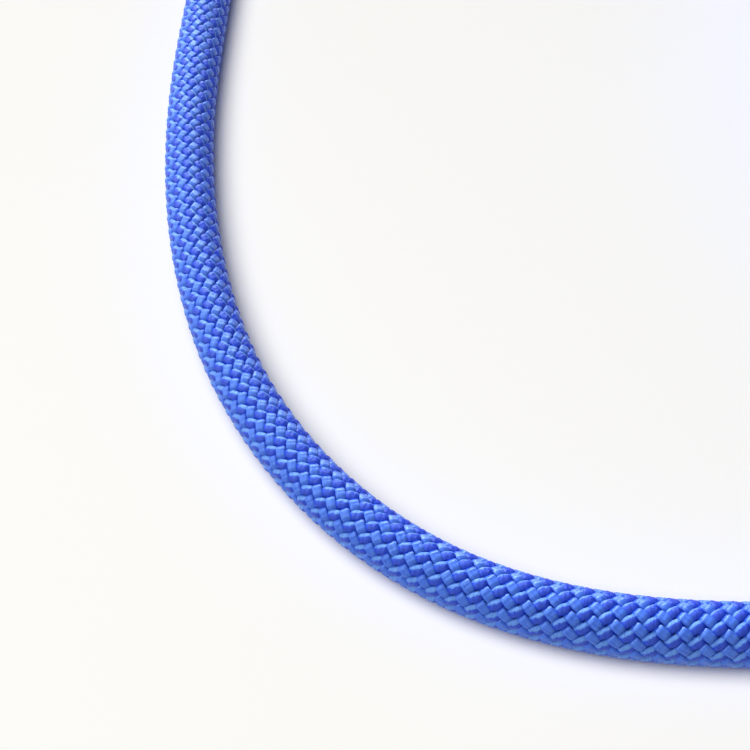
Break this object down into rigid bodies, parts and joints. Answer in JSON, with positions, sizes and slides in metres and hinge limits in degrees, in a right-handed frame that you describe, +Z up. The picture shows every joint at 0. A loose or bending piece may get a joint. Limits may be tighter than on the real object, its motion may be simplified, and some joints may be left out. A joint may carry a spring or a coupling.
{
  "type": "dynamic climbing rope",
  "caption": "Braided blue climbing rope lying in a loose arc, its spare length in a neat round coil, with a fused and sleeved tip at each end.",
  "frame": {"origin": "on the floor, under the middle of the whole rope's bounding box", "axes": "+Z up; +X from the free stretch towards the coil; +Y away from a viewer who stands where the free stretch curves round"},
  "size_m": [0.3393, 0.2199, 0.04],
  "materials": {
    "sheath": "braided polyamide yarn, soft sheen",
    "core": "twisted white polyamide yarn",
    "marker": "coloured marker yarn",
    "sleeve": "shrunk plastic sleeve, satin",
    "fused": "polyamide fused by heat, slightly glossy"
  },
  "bodies": {
    "root": {"sheath": "sheath", "marker_thread": "marker", "core_strand_01": "core", "core_strand_02": "core", "core_strand_03": "core", "core_strand_04": "core", "core_strand_05": "core", "core_strand_06": "core", "core_strand_07": "core", "core_strand_08": "core", "core_strand_09": "core", "core_strand_10": "core", "core_strand_11": "core", "core_strand_12": "core", "end_sleeve_a": "sleeve", "fused_end_a": "fused", "coil": "sheath", "end_sleeve_b": "sleeve", "fused_end_b": "fused"}
  },
  "joints": []
}
